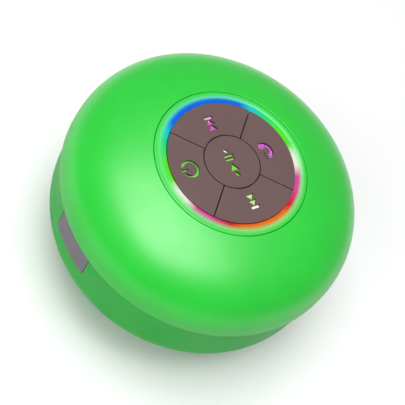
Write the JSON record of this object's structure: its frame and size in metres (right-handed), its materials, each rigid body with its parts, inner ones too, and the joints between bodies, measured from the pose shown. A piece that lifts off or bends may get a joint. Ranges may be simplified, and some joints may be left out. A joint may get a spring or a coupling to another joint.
{
  "type": "shower speaker",
  "caption": "Round splash-proof shower speaker: domed shell, lit push keys inside a rainbow light ring, rubber port flap, rear driver and suction cup.",
  "frame": {"origin": "centre of the suction cup's rim plane, under the middle of the speaker", "axes": "+Z along the speaker's axis from the wall to the key pad; +Y up on the wall, towards the power key and the charging port; +X towards the next-track key"},
  "size_m": [0.086, 0.086, 0.055],
  "materials": {
    "shell_green": "satin",
    "band_green": "satin",
    "light_guide": "satin translucent, lit",
    "key_taupe": "matt",
    "symbol_magenta": "translucent, lit",
    "symbol_green": "translucent, lit",
    "black_plastic": "matt",
    "white_plastic": "matt",
    "led_white": "matt",
    "silicone_clear": "satin",
    "seal_rubber": "matt",
    "flap_rubber": "matt",
    "cup_rubber": "satin",
    "board_green": "satin",
    "tinned_steel": "satin",
    "screw_steel": "zinc",
    "frame_steel": "satin",
    "yoke_steel": "zinc",
    "ferrite": "matt",
    "cell_foil": "satin",
    "foam_tape": "matt",
    "lead_sleeve": "satin",
    "cone_paper": "matt",
    "copper_coil": "satin",
    "spider_cloth": "matt",
    "mesh_cloth": "matt"
  },
  "bodies": {
    "housing": {"front_shell": "shell_green", "control_bezel": "shell_green", "light_ring": "light_guide", "rear_shell": "band_green", "shell_seal": "seal_rubber", "housing_screws": "screw_steel", "acoustic_mesh": "mesh_cloth", "key_frame": "black_plastic", "key_membrane": "silicone_clear", "main_board": "board_green", "ring_leds": "led_white", "key_switches": "black_plastic", "microphone": "tinned_steel", "radio_module": "tinned_steel", "audio_chips": "black_plastic", "board_parts": "tinned_steel", "lead_connectors": "white_plastic", "board_screws": "screw_steel", "battery_tray": "black_plastic", "tray_screws": "screw_steel", "battery_tape": "foam_tape", "battery_cell": "cell_foil", "port_board": "board_green", "charging_socket": "tinned_steel", "port_board_screws": "screw_steel", "speaker_leads": "lead_sleeve", "battery_leads": "lead_sleeve", "port_leads": "lead_sleeve", "driver_frame": "frame_steel", "driver_gasket": "foam_tape", "driver_top_plate": "yoke_steel", "driver_magnet": "ferrite", "driver_yoke": "yoke_steel", "driver_terminals": "black_plastic", "driver_screws": "screw_steel", "surround": "seal_rubber", "spider": "spider_cloth", "flap_anchors": "flap_rubber"},
    "key_centre": {"key_cap_centre": "key_taupe", "key_symbol_centre": "symbol_green", "switch_plunger_centre": "white_plastic"},
    "key_next": {"key_cap_next": "key_taupe", "key_symbol_next": "symbol_magenta", "switch_plunger_next": "white_plastic"},
    "key_power": {"key_cap_power": "key_taupe", "key_symbol_power": "symbol_green", "switch_plunger_power": "white_plastic"},
    "key_previous": {"key_cap_previous": "key_taupe", "key_symbol_previous": "symbol_green", "switch_plunger_previous": "white_plastic"},
    "key_call": {"key_cap_call": "key_taupe", "key_symbol_call": "symbol_magenta", "switch_plunger_call": "white_plastic"},
    "cone_assembly": {"cone": "cone_paper", "dust_cap": "cone_paper", "voice_coil": "copper_coil"},
    "port_flap": {"port_flap": "flap_rubber"},
    "suction_cup": {"suction_cup": "cup_rubber"}
  },
  "joints": [
    {"name": "key_centre_press", "type": "slide", "parent": "housing", "child": "key_centre", "axis": [0, 0, -1], "range_m": [0, 0.0005], "stiffness_N_per_m": 2000},
    {"name": "key_next_press", "type": "slide", "parent": "housing", "child": "key_next", "axis": [0, 0, -1], "range_m": [0, 0.0005], "stiffness_N_per_m": 2000},
    {"name": "key_power_press", "type": "slide", "parent": "housing", "child": "key_power", "axis": [0, 0, -1], "range_m": [0, 0.0005], "stiffness_N_per_m": 2000},
    {"name": "key_previous_press", "type": "slide", "parent": "housing", "child": "key_previous", "axis": [0, 0, -1], "range_m": [0, 0.0005], "stiffness_N_per_m": 2000},
    {"name": "key_call_press", "type": "slide", "parent": "housing", "child": "key_call", "axis": [0, 0, -1], "range_m": [0, 0.0005], "stiffness_N_per_m": 2000},
    {"name": "cone_travel", "type": "slide", "parent": "housing", "child": "cone_assembly", "axis": [0, 0, -1], "range_m": [-0.001, 0.001], "stiffness_N_per_m": 1500, "deforming": ["surround", "spider"]},
    {"name": "flap_hinge", "type": "hinge", "parent": "housing", "child": "port_flap", "pos_m": [0, 0.0425, 0.0277], "axis": [-1, 0, 0], "range_deg": [0, 110], "stiffness_Nm_per_rad": 0.0002},
    {"name": "cup_swivel", "type": "hinge", "parent": "housing", "child": "suction_cup", "pos_m": [0, 0, 0.013], "axis": [0, 0, 1], "continuous": true}
  ]
}
